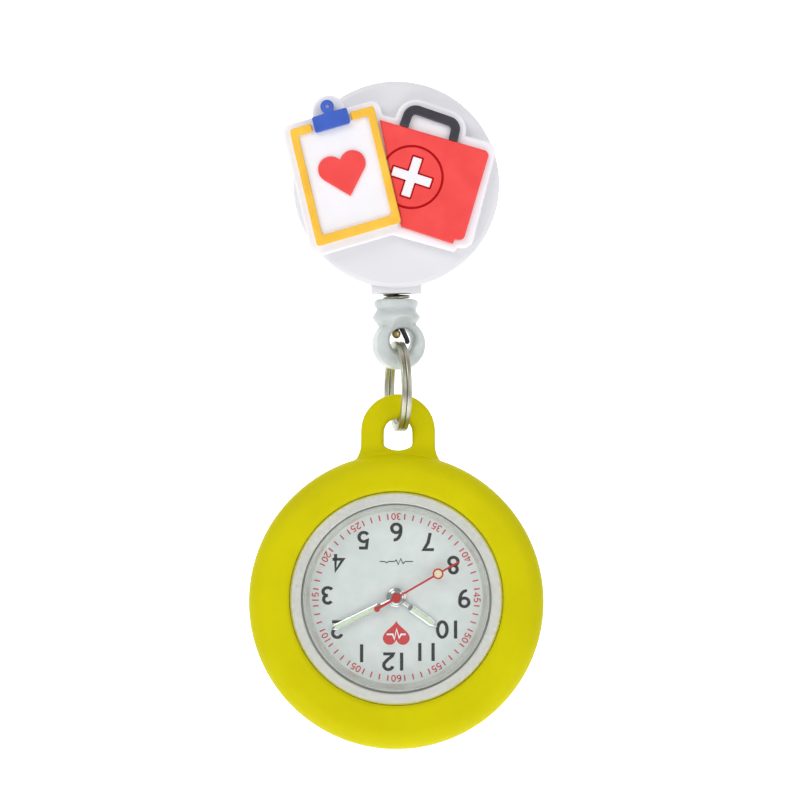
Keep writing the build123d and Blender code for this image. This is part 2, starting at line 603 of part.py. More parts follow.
with BuildPart() as setting_lever:
    with BuildSketch(Plane.YZ.offset(-11.6)) as fork:
        with Locations((CORD_Y - CROWN_W, WATCH_Z + 0.3)):
            Rectangle(1.3, 2.6)
        with Locations((CORD_Y - CROWN_W, WATCH_Z)):
            Circle(0.3 + RUNNING, mode=Mode.SUBTRACT)
        with Locations((CORD_Y - CROWN_W, WATCH_Z - 0.6)):
            Rectangle(0.66, 1.2, mode=Mode.SUBTRACT)
    extrude(fork.sketch, amount=0.1, both=True)
save(setting_lever, "setting_lever")

CROWN_R = 1.75
with BuildPart() as crown:
    with BuildSketch(Plane.YZ.offset(-CASE_R - 2.0)) as knurl:
        with Locations((CORD_Y - CROWN_W, WATCH_Z)):
            Circle(CROWN_R)
            with PolarLocations(CROWN_R + 0.08, 18):
                Circle(0.17, mode=Mode.SUBTRACT)
    extrude(knurl.sketch, amount=1.7)
    with Locations(Location((-CASE_R - 2.0, CORD_Y - CROWN_W, WATCH_Z), (0, 90, 0))):
        Cylinder(CROWN_R - 0.25, 0.3, align=(Align.CENTER, Align.CENTER, Align.MAX))
    with Locations(Location((-CASE_R - 0.3, CORD_Y - CROWN_W, WATCH_Z), (0, 90, 0))):
        Cylinder(STEM_R + 0.02, 2.4, align=(Align.CENTER, Align.CENTER, Align.MAX), mode=Mode.SUBTRACT)
save(crown, "crown")


# Hands -------------------------------------------------------------------------------
def hand_outline(tip, neck_end, neck_w, body_w, point, tail=0.0):
    """Pointed leaf on a narrow neck, along +Y from the hub."""
    with BuildLine() as outline:
        Polyline((neck_w / 2, -tail), (neck_w / 2, neck_end), (body_w / 2, neck_end + 0.35),
                 (body_w / 2, tip - point), (0.08, tip), (-0.08, tip), (-body_w / 2, tip - point),
                 (-body_w / 2, neck_end + 0.35), (-neck_w / 2, neck_end), (-neck_w / 2, -tail), close=True)
    make_face(outline.edges())


def at_angle(angle, out):
    """Plane of a hand: its y runs along the hand, turned clockwise from twelve.

    The dial hangs upside down, so twelve is towards -Z and three towards -X.
    """
    turned = math.radians(angle)
    return Plane(origin=(0, CORD_Y - out, WATCH_Z),
                 x_dir=(-math.cos(turned), 0, math.sin(turned)), z_dir=(0, -1, 0))


HANDS = (
    ("hour", HOUR_ANGLE, 2.3, (7.8, 2.5, 0.5, 1.0, 1.1), (3.1, 7.0, 0.6), 1.1, 1.55),
    ("minute", MINUTE_ANGLE, 2.75, (11.2, 2.6, 0.45, 0.85, 0.9), (3.2, 10.4, 0.45), 0.6, 1.25),
)
for name, angle, level, shape, lume, bore, hub in HANDS:
    with BuildPart() as hand:
        with BuildSketch(at_angle(angle, level)) as blade:
            hand_outline(*shape)
            Circle(hub)
        extrude(blade.sketch, amount=0.16)
        with BuildSketch(at_angle(angle, level)) as window:
            with Locations((0, (lume[0] + lume[1]) / 2)):
                Rectangle(lume[2], lume[1] - lume[0])
            Circle(bore + 0.005)
        extrude(window.sketch, amount=1, mode=Mode.SUBTRACT)
    save(hand, f"{name}_hand")
    with BuildPart() as filling:
        with BuildSketch(at_angle(angle, level + 0.02)) as stripe:
            with Locations((0, (lume[0] + lume[1]) / 2)):
                Rectangle(lume[2] - 0.02, lume[1] - lume[0] - 0.02)
        extrude(stripe.sketch, amount=0.15)
    save(filling, f"{name}_lume")

SECOND_LEVEL = 3.25
LUME_RING_AT = 7.5
with BuildPart() as second_hand:
    with BuildSketch(at_angle(SECOND_ANGLE, SECOND_LEVEL)) as needle:
        with Locations((0, 3.87)):
            Rectangle(0.3, 14.66)
        with Locations((0, -1.73)):
            Rectangle(0.4, 3.46)
        with Locations((0, -3.46)):
            Circle(0.45)
        Circle(0.73)
        with Locations((0, LUME_RING_AT)):
            Circle(0.85)
            Circle(0.6, mode=Mode.SUBTRACT)
    extrude(needle.sketch, amount=0.14)
    with BuildSketch(at_angle(SECOND_ANGLE, SECOND_LEVEL + 0.14)) as cap:
        Circle(0.45)
    extrude(cap.sketch, amount=0.12)
    drum(0, 0, 0.255, 3, 3.45, mode=Mode.SUBTRACT)
save(second_hand, "second_hand")

with BuildPart() as second_lume:
    with BuildSketch(at_angle(SECOND_ANGLE, SECOND_LEVEL + 0.01)) as spot:
        with Locations((0, LUME_RING_AT)):
            Circle(0.59)
    extrude(spot.sketch, amount=0.12)
save(second_lume, "second_lume")


# Badge on the reel ------------------------------------------------------------------------
def kit_outline(grow=0.0):
    """First-aid bag, leaning right, with a small step in its lower corner."""
    corner = 0.9 + 0.8 * grow
    with BuildLine() as outline:
        FilletPolyline((-2.54 - grow, 9.45 + grow), (14.44 + grow, 4.54 + grow),
                       (10.37 + grow, -9.2 - grow), (9.0 + 0.4 * grow, -9.0 - grow), radius=corner)
        Polyline((9.0 + 0.4 * grow, -9.0 - grow), (8.76 + 0.2 * grow, -9.7 - grow),
                 (0.73 - grow, -7.06 - grow), (-2.54 - grow, 9.45 + grow))
    make_face(outline.edges())


def on_board(across, up):
    """Point on the badge, from the clipboard's middle along its top edge and up its side."""
    tilt = math.radians(BOARD_TILT)
    lean = math.radians(BOARD_LEAN)
    return (BOARD_AT[0] + across * math.cos(tilt) - up * math.sin(lean),
            BOARD_AT[1] + across * math.sin(tilt) + up * math.cos(lean))


def board(size, radius, offset_to=(0, 0), mode=Mode.ADD):
    """Rounded rectangle on the tilted clipboard."""
    half_width, half_height = size[0] / 2, size[1] / 2
    corners = [on_board(offset_to[0] + i * half_width, offset_to[1] + j * half_height)
               for i, j in ((-1, -1), (1, -1), (1, 1), (-1, 1))]
    with BuildLine() as outline:
        FilletPolyline(*corners, radius=radius, close=True)
    make_face(outline.edges(), mode=mode)


def handle_band(width):
    """Grip of the bag: a bar on two legs, all of one width."""
    with BuildLine() as grip_line:
        FilletPolyline((1.15, 8.45), (2.2, 11.3), (9.35, 8.85), (8.75, 6.2), radius=1.3)
    trace(grip_line.edges(), line_width=width)


def heart_outline(size):
    """Heart with round lobes and a point at the bottom."""
    lobe = 0.27 * size
    lobe_x, lobe_y, point_y = 0.235 * size, 0.18 * size, -0.47 * size
    reach = math.hypot(lobe_x, lobe_y - point_y)
    touch = math.atan2(lobe_y - point_y, lobe_x) - math.asin(lobe / reach)
    side_length = math.sqrt(reach ** 2 - lobe ** 2)
    touch_at = (side_length * math.cos(touch), point_y + side_length * math.sin(touch))
    dip_y = lobe_y + math.sqrt(lobe ** 2 - lobe_x ** 2)
    with BuildLine() as outline:
        for side in (1, -1):
            Line((0, point_y), (side * touch_at[0], touch_at[1]))
            ThreePointArc((side * touch_at[0], touch_at[1]),
                          (side * (lobe_x + 0.6 * lobe), lobe_y + 0.8 * lobe), (0, dip_y))
    make_face(outline.edges())


BASE_TOP = CHARM_BACK + CHARM_BASE
KIT_TOP = BASE_TOP + KIT_RISE
BOARD_TOP = BASE_TOP + BOARD_RISE

with BuildPart() as charm_base:
    with BuildSketch(facing(BADGE_Z, CHARM_BACK)) as base_plan:
        board((BOARD_SIZE[0] + 2.1, BOARD_SIZE[1] + 2.3), 1.5, offset_to=(0, -0.25))
        kit_outline(grow=1.25)
        handle_band(3.4)
        with Locations((5.2, 8.3)):
            Rectangle(7, 4, rotation=KIT_TILT)
        board((5.2, 5.6), 2.55, offset_to=(-0.15, 10.1))
    extrude(base_plan.sketch, amount=CHARM_BASE)
    rims = charm_base.faces().sort_by(Axis.Y)[0].outer_wire().edges()
    fillet(rims, 0.35)
    with BuildSketch(facing(BADGE_Z, BASE_TOP - 0.1)) as paper:
        board((BOARD_SIZE[0] - 0.3, BOARD_SIZE[1] - 0.3), 0.4)
    extrude(paper.sketch, amount=0.1 + BOARD_RISE - 0.35)
save(charm_base, "charm_base")

with BuildPart() as kit_body:
    with BuildSketch(facing(BADGE_Z, BASE_TOP)) as bag:
        kit_outline()
        board((BOARD_SIZE[0] + 0.1, BOARD_SIZE[1] + 0.1), 0.4, mode=Mode.SUBTRACT)
    extrude(bag.sketch, amount=KIT_RISE)
    rims = kit_body.faces().sort_by(Axis.Y)[0].outer_wire().edges()
    chamfer(rims, 0.12)
    with BuildSketch(facing(BADGE_Z, KIT_TOP - 0.3)) as marks:
        with Locations(KIT_CIRCLE):
            Circle(4.95)
            Circle(4.6, mode=Mode.SUBTRACT)
        with Locations(Location(KIT_CIRCLE + (0,), (0, 0, KIT_TILT))):
            Rectangle(6.75, 1.9)
            Rectangle(1.9, 6.75)
    extrude(marks.sketch, amount=1, mode=Mode.SUBTRACT)
save(kit_body, "kit_body")

with BuildPart() as kit_plus:
    with BuildSketch(facing(BADGE_Z, KIT_TOP - 0.3)) as plus:
        with Locations(Location(KIT_CIRCLE + (0,), (0, 0, KIT_TILT))):
            Rectangle(6.2, 1.4)
            Rectangle(1.4, 6.2)
        board((BOARD_SIZE[0] + 0.1, BOARD_SIZE[1] + 0.1), 0.4, mode=Mode.SUBTRACT)
    extrude(plus.sketch, amount=0.35)
save(kit_plus, "kit_plus")

with BuildPart() as kit_handle:
    with BuildSketch(facing(BADGE_Z, BASE_TOP)) as grip:
        handle_band(1.45)
        with BuildLine() as bag_edge:
            Polyline((-2.54, 9.53), (14.44, 4.62), (11, 0), (-4, 2), close=True)
        make_face(bag_edge.edges(), mode=Mode.SUBTRACT)
    extrude(grip.sketch, amount=0.9)
    chamfer(kit_handle.faces().sort_by(Axis.Y)[0].outer_wire().edges(), 0.15)
save(kit_handle, "kit_handle")

with BuildPart() as clipboard_frame:
    with BuildSketch(facing(BADGE_Z, BOARD_TOP - 0.35)) as border:
        board(BOARD_SIZE, 0.5)
        board((BOARD_SIZE[0] - 2.4, BOARD_SIZE[1] - 2.8), 0.3, offset_to=(0, 0.1), mode=Mode.SUBTRACT)
        board((6.3, 3), 0.1, offset_to=(-0.15, BOARD_SIZE[1] / 2), mode=Mode.SUBTRACT)
    extrude(border.sketch, amount=0.6)
    chamfer(clipboard_frame.faces().sort_by(Axis.Y)[0].outer_wire().edges(), 0.15)
save(clipboard_frame, "clipboard_frame")

with BuildPart() as clipboard_clip:
    with BuildSketch(facing(BADGE_Z, BOARD_TOP - 0.35)) as blue_clip:
        board((5.6, 2.5), 0.3, offset_to=(-0.15, 8.86))
        board((1.2, 1.2), 0.2, offset_to=(-0.2, 10.3))
        with Locations(on_board(-0.25, 11.05)):
            Circle(1.05)
            Circle(0.3, mode=Mode.SUBTRACT)
    extrude(blue_clip.sketch, amount=0.95)
    chamfer(clipboard_clip.faces().sort_by(Axis.Y)[0].outer_wire().edges(), 0.15)
save(clipboard_clip, "clipboard_clip")

with BuildPart() as clipboard_heart:
    heart_plane = Plane(facing(BADGE_Z, BOARD_TOP - 0.35).location
                        * Location(on_board(-0.1, 0.3) + (0,), (0, 0, BOARD_TILT)))
    with BuildSketch(heart_plane) as heart:
        heart_outline(7.4)
    extrude(heart.sketch, amount=0.4)
    chamfer(clipboard_heart.faces().sort_by(Axis.Y)[0].outer_wire().edges(), 0.12)
save(clipboard_heart, "clipboard_heart")
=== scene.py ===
import json
import math

import bmesh
import bpy
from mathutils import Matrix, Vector


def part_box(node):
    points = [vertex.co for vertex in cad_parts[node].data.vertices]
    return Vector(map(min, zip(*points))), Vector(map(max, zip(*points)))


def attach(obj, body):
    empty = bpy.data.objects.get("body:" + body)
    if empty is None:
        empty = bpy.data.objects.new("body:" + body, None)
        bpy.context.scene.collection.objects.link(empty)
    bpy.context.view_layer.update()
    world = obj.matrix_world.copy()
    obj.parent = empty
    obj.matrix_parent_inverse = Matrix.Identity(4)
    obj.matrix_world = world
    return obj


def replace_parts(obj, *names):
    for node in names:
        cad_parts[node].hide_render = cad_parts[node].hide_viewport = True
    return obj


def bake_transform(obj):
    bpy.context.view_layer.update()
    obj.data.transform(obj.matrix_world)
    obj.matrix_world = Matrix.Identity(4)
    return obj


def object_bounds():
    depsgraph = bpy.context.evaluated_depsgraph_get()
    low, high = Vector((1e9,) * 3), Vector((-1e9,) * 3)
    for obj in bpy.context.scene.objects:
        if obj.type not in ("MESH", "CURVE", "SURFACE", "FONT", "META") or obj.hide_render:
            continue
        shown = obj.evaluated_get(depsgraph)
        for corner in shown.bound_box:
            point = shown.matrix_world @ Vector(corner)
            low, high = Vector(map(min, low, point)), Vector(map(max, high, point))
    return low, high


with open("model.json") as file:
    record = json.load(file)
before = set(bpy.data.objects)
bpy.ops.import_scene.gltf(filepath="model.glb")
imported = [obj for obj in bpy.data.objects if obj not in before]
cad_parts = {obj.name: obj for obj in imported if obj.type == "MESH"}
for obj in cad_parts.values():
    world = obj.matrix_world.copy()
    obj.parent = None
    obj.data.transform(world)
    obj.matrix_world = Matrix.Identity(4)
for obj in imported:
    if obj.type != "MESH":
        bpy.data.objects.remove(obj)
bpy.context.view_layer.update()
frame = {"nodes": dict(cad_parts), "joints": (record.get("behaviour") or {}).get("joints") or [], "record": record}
nodes = frame["nodes"]
joints = {joint["name"]: joint for joint in frame["joints"]}
scene = bpy.context.scene
MM = 0.001


# ---------------------------------------------------------------- places taken from the frame
def centre(node):
    """Middle of a CAD node's box."""
    low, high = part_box(node)
    return (Vector(low) + Vector(high)) / 2


def front_of(node):
    """y of a CAD node's front face."""
    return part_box(node)[0][1]


WATCH = centre("dial")
DIAL_FACE = front_of("dial")
REEL = Vector(joints["spool_turn"]["pos_m"])


def on_dial(u, v, out=0.0):
    """Point on the dial, in mm from its centre. It hangs upside down: u is towards 3, v towards 12."""
    return Vector((WATCH.x - u * MM, DIAL_FACE - out * MM, WATCH.z - v * MM))


# ---------------------------------------------------------------- camera
def make_camera():
    """Square on to the front, with the watch hanging in the middle of the picture."""
    distance, field_width = 0.5, 125.1 * MM
    aside, drop = 0.58 * MM, 33.45 * MM
    sensor = 36.0
    camera = bpy.data.objects.new("camera", bpy.data.cameras.new("camera"))
    camera.data.sensor_width = sensor
    camera.data.lens = sensor * distance / field_width
    camera.location = (aside, REEL.y - distance, REEL.z - drop)
    camera.rotation_euler = (math.pi / 2, 0, 0)
    scene.collection.objects.link(camera)
    scene.camera = camera


make_camera()


# ---------------------------------------------------------------- material helpers
# Nearly all of a noise texture's values lie between these two
NOISE_LOW, NOISE_HIGH = 0.3, 0.7


def socket(shader, name, value):
    shader.inputs[name].default_value = value


class Finish:
    """A node material built up from one Principled shader."""

    def __init__(self, name, roughness, metallic=0.0):
        self.material = bpy.data.materials.new(name)
        self.material.use_nodes = True
        self.tree = self.material.node_tree
        self.shader = self.tree.nodes["Principled BSDF"]
        socket(self.shader, "Roughness", roughness)
        socket(self.shader, "Metallic", metallic)
        self.place = self.tree.nodes.new("ShaderNodeTexCoord").outputs["Object"]

    def add(self, kind, **settings):
        node = self.tree.nodes.new(kind)
        for key, value in settings.items():
            setattr(node, key, value)
        return node

    def link(self, output, target):
        self.tree.links.new(output, target)

    def noise(self, scale, detail=3.0, roughness=0.5):
        """Noise in metres, with `scale` cells to the metre."""
        texture = self.add("ShaderNodeTexNoise")
        socket(texture, "Scale", scale)
        socket(texture, "Detail", detail)
        socket(texture, "Roughness", roughness)
        self.link(self.place, texture.inputs["Vector"])
        return texture.outputs["Fac"]

    def colour(self, factor, dark, light):
        """Base colour that runs from dark to light over the middle of the factor's range."""
        ramp = self.add("ShaderNodeValToRGB")
        stops = ((NOISE_LOW, dark), (NOISE_HIGH, light))
        for element, (position, colour) in zip(ramp.color_ramp.elements, stops):
            element.position = position
            element.color = (*colour, 1.0)
        self.link(factor, ramp.inputs["Fac"])
        self.link(ramp.outputs["Color"], self.shader.inputs["Base Color"])

    def range(self, factor, low, high):
        """Roughness that runs from low to high over the middle of the factor's range."""
        spread = self.add("ShaderNodeMapRange")
        socket(spread, "From Min", NOISE_LOW)
        socket(spread, "From Max", NOISE_HIGH)
        socket(spread, "To Min", low)
        socket(spread, "To Max", high)
        self.link(factor, spread.inputs["Value"])
        self.link(spread.outputs["Result"], self.shader.inputs["Roughness"])

    def bump(self, height, depth, strength=1.0):
        """Relief of `depth` mm. A second call adds its relief to the first."""
        node = self.add("ShaderNodeBump")
        socket(node, "Strength", strength)
        socket(node, "Distance", depth * MM)
        self.link(height, node.inputs["Height"])
        normal = self.shader.inputs["Normal"]
        if normal.is_linked:
            self.link(normal.links[0].from_socket, node.inputs["Normal"])
        self.link(node.outputs["Normal"], normal)


def moulded_plastic(name, dark, light, roughness):
    """Hard moulded plastic with a faint skin."""
    finish = Finish(name, roughness)
    finish.colour(finish.noise(90, 4), dark, light)
    finish.range(finish.noise(700, 3), roughness - 0.05, roughness + 0.08)
    finish.bump(finish.noise(2600, 2), 0.008, 0.2)
    finish.bump(finish.noise(60, 2), 0.01, 0.1)
    return finish.material


def soft_pvc(name, dark, light, roughness=0.42):
    """Soft moulded PVC: a little translucent, with the fine skin of the mould."""
    finish = Finish(name, roughness)
    finish.colour(finish.noise(260, 4), dark, light)
    finish.range(finish.noise(1500, 3), roughness - 0.06, roughness + 0.1)
    socket(finish.shader, "Subsurface Weight", 0.12)
    socket(finish.shader, "Subsurface Radius", (0.8, 0.6, 0.5))
    socket(finish.shader, "Subsurface Scale", 0.0006)
    finish.bump(finish.noise(5200, 2), 0.01, 0.5)
    finish.bump(finish.noise(420, 3), 0.03, 0.35)
    return finish.material


def silicone(name, dark, light):
    """Matte silicone, with a faint dusty bloom and a slightly uneven skin."""
    finish = Finish(name, 0.55)
    finish.colour(finish.noise(75, 5, 0.6), dark, light)
    finish.range(finish.noise(900, 4), 0.5, 0.66)
    socket(finish.shader, "Subsurface Weight", 0.15)
    socket(finish.shader, "Subsurface Radius", (1.0, 0.8, 0.1))
    socket(finish.shader, "Subsurface Scale", 0.0012)
    socket(finish.shader, "Specular IOR Level", 0.08)
    finish.bump(finish.noise(3800, 3), 0.012, 0.5)
    finish.bump(finish.noise(110, 3), 0.04, 0.15)
    return finish.material


def milky_rubber(name):
    """Translucent grey rubber."""
    finish = Finish(name, 0.34)
    finish.colour(finish.noise(320, 4), (0.50, 0.54, 0.53), (0.62, 0.66, 0.65))
    finish.range(finish.noise(1300, 3), 0.28, 0.42)
    socket(finish.shader, "Subsurface Weight", 0.55)
    socket(finish.shader, "Subsurface Radius", (1.0, 1.0, 1.0))
    socket(finish.shader, "Subsurface Scale", 0.0022)
    socket(finish.shader, "Coat Weight", 0.25)
    socket(finish.shader, "Coat Roughness", 0.2)
    finish.bump(finish.noise(3000, 3), 0.014, 0.5)
    finish.bump(finish.noise(350, 2), 0.05, 0.3)
    return finish.material


def polished_steel(name, dark, light, roughness):
    """Plated or polished steel, finely scratched all over."""
    finish = Finish(name, roughness, metallic=1.0)
    finish.colour(finish.noise(240, 5, 0.6), dark, light)
    finish.range(finish.noise(2400, 5, 0.7), roughness - 0.05, roughness + 0.12)
    finish.bump(finish.noise(5200, 4, 0.6), 0.004, 0.5)
    return finish.material


def turned_steel(name, dark, light, middle, roughness):
    """Steel turned on a lathe: fine rings about the watch's axis."""
    finish = Finish(name, roughness, metallic=1.0)
    shift = finish.add("ShaderNodeVectorMath", operation="SUBTRACT")
    shift.inputs[1].default_value = middle
    finish.link(finish.place, shift.inputs[0])
    flatten = finish.add("ShaderNodeVectorMath", operation="MULTIPLY")
    flatten.inputs[1].default_value = (1, 0, 1)
    finish.link(shift.outputs[0], flatten.inputs[0])
    radius = finish.add("ShaderNodeVectorMath", operation="LENGTH")
    finish.link(flatten.outputs[0], radius.inputs[0])
    lines = finish.add("ShaderNodeTexNoise", noise_dimensions="1D")
    socket(lines, "Scale", 9000)
    socket(lines, "Detail", 3)
    finish.link(radius.outputs["Value"], lines.inputs["W"])
    finish.colour(finish.noise(160, 5, 0.6), dark, light)
    finish.range(finish.noise(1800, 4), roughness - 0.04, roughness + 0.1)
    finish.bump(lines.outputs["Fac"], 0.002, 0.3)
    return finish.material


def brass(name):
    finish = Finish(name, 0.3, metallic=1.0)
    finish.colour(finish.noise(400, 4), (0.42, 0.30, 0.12), (0.70, 0.53, 0.25))
    finish.range(finish.noise(2000, 4), 0.22, 0.42)
    finish.bump(finish.noise(4000, 4), 0.006, 0.5)
    return finish.material


def glass_cover(name):
    """Mineral glass: clear in its faces, and a little cloudy in its ground edge.

    Face and edge are told apart by the world's y, so this holds only while the watch faces front or back.
    """
    finish = Finish(name, 0.04)
    socket(finish.shader, "IOR", 1.5)
    socket(finish.shader, "Coat Weight", 0.4)
    socket(finish.shader, "Coat Roughness", 0.03)
    finish.colour(finish.noise(300, 2), (0.80, 0.86, 0.85), (0.90, 0.94, 0.93))
    normal = finish.add("ShaderNodeNewGeometry").outputs["Normal"]
    split = finish.add("ShaderNodeSeparateXYZ")
    finish.link(normal, split.inputs["Vector"])
    flatness = finish.add("ShaderNodeMath", operation="ABSOLUTE")
    finish.link(split.outputs["Y"], flatness.inputs[0])
    edge = finish.add("ShaderNodeMapRange")
    socket(edge, "From Min", 0.6)
    socket(edge, "From Max", 0.98)
    socket(edge, "To Min", 0.42)
    socket(edge, "To Max", 0.03)
    finish.link(flatness.outputs[0], edge.inputs["Value"])
    finish.link(edge.outputs["Result"], finish.shader.inputs["Alpha"])
    return finish.material


def dial_paint(name, middle):
    """Satin silver-white lacquer with a faint sunburst."""
    finish = Finish(name, 0.38, metallic=0.12)
    finish.colour(finish.noise(500, 3), (0.66, 0.72, 0.69), (0.74, 0.79, 0.77))
    shift = finish.add("ShaderNodeVectorMath", operation="SUBTRACT")
    shift.inputs[1].default_value = middle
    finish.link(finish.place, shift.inputs[0])
    split = finish.add("ShaderNodeSeparateXYZ")
    finish.link(shift.outputs[0], split.inputs[0])
    angle = finish.add("ShaderNodeMath", operation="ARCTAN2")
    finish.link(split.outputs["X"], angle.inputs[0])
    finish.link(split.outputs["Z"], angle.inputs[1])
    rays = finish.add("ShaderNodeTexNoise", noise_dimensions="1D")
    socket(rays, "Scale", 60)
    socket(rays, "Detail", 4)
    finish.link(angle.outputs[0], rays.inputs["W"])
    finish.range(rays.outputs["Fac"], 0.33, 0.43)
    finish.bump(rays.outputs["Fac"], 0.004, 0.4)
    finish.bump(finish.noise(6000, 2), 0.003, 0.4)
    return finish.material


def printing_ink(name, dark, light):
    finish = Finish(name, 0.6)
    finish.colour(finish.noise(4000, 3), dark, light)
    socket(finish.shader, "Specular IOR Level", 0.12)
    finish.bump(finish.noise(9000, 2), 0.004, 0.5)
    return finish.material


def lume_paint(name, dark, light):
    """Pale luminous paint, grainy and slightly lumpy."""
    finish = Finish(name, 0.6)
    finish.colour(finish.noise(3500, 4), dark, light)
    finish.bump(finish.noise(5000, 4), 0.02, 0.6)
    return finish.material


def braided_nylon(name):
    """Black nylon braid: two sets of slanting strands."""
    finish = Finish(name, 0.5)
    heights = []
    for slant in (1, -1):
        wave = finish.add("ShaderNodeTexWave", wave_type="BANDS", bands_direction="Z")
        socket(wave, "Scale", 620)
        mapping = finish.add("ShaderNodeMapping")
        mapping.inputs["Rotation"].default_value = (0, slant * 0.7, 0)
        finish.link(finish.place, mapping.inputs["Vector"])
        finish.link(mapping.outputs["Vector"], wave.inputs["Vector"])
        heights.append(wave.outputs["Fac"])
    highest = finish.add("ShaderNodeMath", operation="MAXIMUM")
    finish.link(heights[0], highest.inputs[0])
    finish.link(heights[1], highest.inputs[1])
    # The braid's grooves between strands are painted darker than its crests: painted shade.
    finish.colour(highest.outputs[0], (0.006, 0.006, 0.007), (0.03, 0.03, 0.034))
    finish.bump(highest.outputs[0], 0.05, 0.8)
    return finish.material


FINISHES = {
    "reel_plastic": moulded_plastic("white_plastic", (0.77, 0.765, 0.795), (0.785, 0.78, 0.81), 0.42),
    "white_pvc": soft_pvc("white_pvc", (0.91, 0.89, 0.93), (0.95, 0.93, 0.97)),
    "red_pvc": soft_pvc("red_pvc", (0.86, 0.055, 0.05), (0.94, 0.075, 0.07)),
    "black_pvc": soft_pvc("black_pvc", (0.028, 0.025, 0.036), (0.045, 0.04, 0.055)),
    "yellow_pvc": soft_pvc("yellow_pvc", (0.90, 0.50, 0.03), (1.0, 0.60, 0.06)),
    "blue_pvc": soft_pvc("blue_pvc", (0.035, 0.10, 0.50), (0.05, 0.14, 0.60)),
    "yellow_silicone": silicone("yellow_silicone", (0.59, 0.535, 0.0), (0.66, 0.60, 0.0)),
    "clear_rubber": milky_rubber("milky_rubber"),
    "gasket_rubber": soft_pvc("grey_rubber", (0.16, 0.17, 0.15), (0.24, 0.25, 0.22), 0.6),
    "spring_steel": polished_steel("plated_steel", (0.40, 0.40, 0.31), (0.58, 0.57, 0.46), 0.3),
    "case_steel": turned_steel("case_steel", (0.84, 0.85, 0.78), (0.90, 0.91, 0.84), WATCH, 0.42),
    "movement_steel": polished_steel("movement_steel", (0.45, 0.45, 0.44), (0.65, 0.65, 0.64), 0.3),
    "movement_brass": brass("movement_brass"),
    "eyelet_metal": brass("eyelet_brass"),
    "crystal_glass": glass_cover("crystal_glass"),
    "dial_silver": dial_paint("dial_silver", WATCH),
    "movement_plastic": moulded_plastic("movement_plastic", (0.6, 0.6, 0.56), (0.7, 0.7, 0.66), 0.4),
    "hand_chrome": polished_steel("hand_chrome", (0.36, 0.37, 0.36), (0.50, 0.51, 0.50), 0.12),
    "hand_red": printing_ink("red_lacquer", (0.42, 0.008, 0.01), (0.52, 0.012, 0.012)),
    "lume": lume_paint("lume_green", (0.52, 0.66, 0.44), (0.66, 0.78, 0.58)),
    "cord_nylon": braided_nylon("black_braid"),
}
BLACK_INK = printing_ink("black_ink", (0.008, 0.008, 0.010), (0.02, 0.02, 0.022))
RED_INK = printing_ink("red_ink", (0.52, 0.03, 0.035), (0.62, 0.045, 0.045))
WHITE_INK = printing_ink("white_ink", (0.82, 0.84, 0.83), (0.90, 0.91, 0.90))
# Painted shade: dark red for the bag's groove and the recess around its plus, not a colour the PVC has.
GROOVE_PAINTED_SHADE = printing_ink("painted_groove_shade", (0.42, 0.0, 0.002), (0.52, 0.002, 0.004))
CREAM_LUME = lume_paint("lume_cream", (0.70, 0.62, 0.36), (0.82, 0.74, 0.46))
SATIN_STEEL = turned_steel("satin_steel", (0.70, 0.72, 0.66), (0.76, 0.78, 0.72), WATCH, 0.5)
BACK_STEEL = turned_steel("back_steel", (0.40, 0.40, 0.38), (0.52, 0.52, 0.50), WATCH, 0.32)


def finish_with(piece, material):
    piece.data.materials.clear()
    piece.data.materials.append(material)


for part in frame["record"]["subparts"]:
    finish_with(nodes[part["node"]], FINISHES[part["material_slot"]])
finish_with(nodes["second_lume"], CREAM_LUME)
finish_with(nodes["dial_ring"], SATIN_STEEL)
finish_with(nodes["case_back"], BACK_STEEL)


# ---------------------------------------------------------------- mesh helpers
def new_piece(name, mesh, body, material, smooth=True):
    piece = bpy.data.objects.new(name, mesh)
    scene.collection.objects.link(piece)
    finish_with(piece, material)
    if smooth:
        for polygon in mesh.polygons:
            polygon.use_smooth = True
    if body:
        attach(piece, body)
    return piece


def mesh_of(build, name):
    """Mesh made by a function that fills a bmesh."""
    shape = bmesh.new()
    build(shape)
    bmesh.ops.remove_doubles(shape, verts=shape.verts, dist=1e-7)
    bmesh.ops.recalc_face_normals(shape, faces=shape.faces)
    mesh = bpy.data.meshes.new(name)
    shape.to_mesh(mesh)
    shape.free()
    return mesh


def softened(node, body, voxel, rounds):
    """The moulded piece of a soft CAD node: its edges rounded as they come out of the mould."""
    source = nodes[node]
    work = bpy.data.objects.new(node + "_work", source.data.copy())
    scene.collection.objects.link(work)
    remesh = work.modifiers.new("remesh", "REMESH")
    remesh.mode = "VOXEL"
    remesh.voxel_size = voxel * MM
    smooth = work.modifiers.new("smooth", "SMOOTH")
    smooth.factor = 0.5
    smooth.iterations = rounds
    bpy.context.view_layer.update()
    result = work.evaluated_get(bpy.context.evaluated_depsgraph_get())
    mesh = bpy.data.meshes.new_from_object(result)
    bpy.data.objects.remove(work)
    slot = next(p["material_slot"] for p in frame["record"]["subparts"] if p["node"] == node)
    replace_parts(new_piece(node + "_soft", mesh, body, FINISHES[slot]), node)


# ---------------------------------------------------------------- silicone, rubber and badge
softened("silicone_cover", "watch", 0.24, 5)
softened("connector", "connector", 0.12, 3)
for soft_node, rounds in (("charm_base", 3), ("kit_body", 1), ("kit_plus", 2), ("kit_handle", 3),
                          ("clipboard_frame", 2), ("clipboard_clip", 2), ("clipboard_heart", 2)):
    softened(soft_node, "reel", 0.09, rounds)


# ---------------------------------------------------------------- printing on the dial
def arc(x, y, rx, ry, start, end, steps=14):
    """Points of an elliptical arc, in degrees anticlockwise from the right."""
    return [(x + rx * math.cos(math.radians(start + (end - start) * i / steps)),
             y + ry * math.sin(math.radians(start + (end - start) * i / steps))) for i in range(steps + 1)]


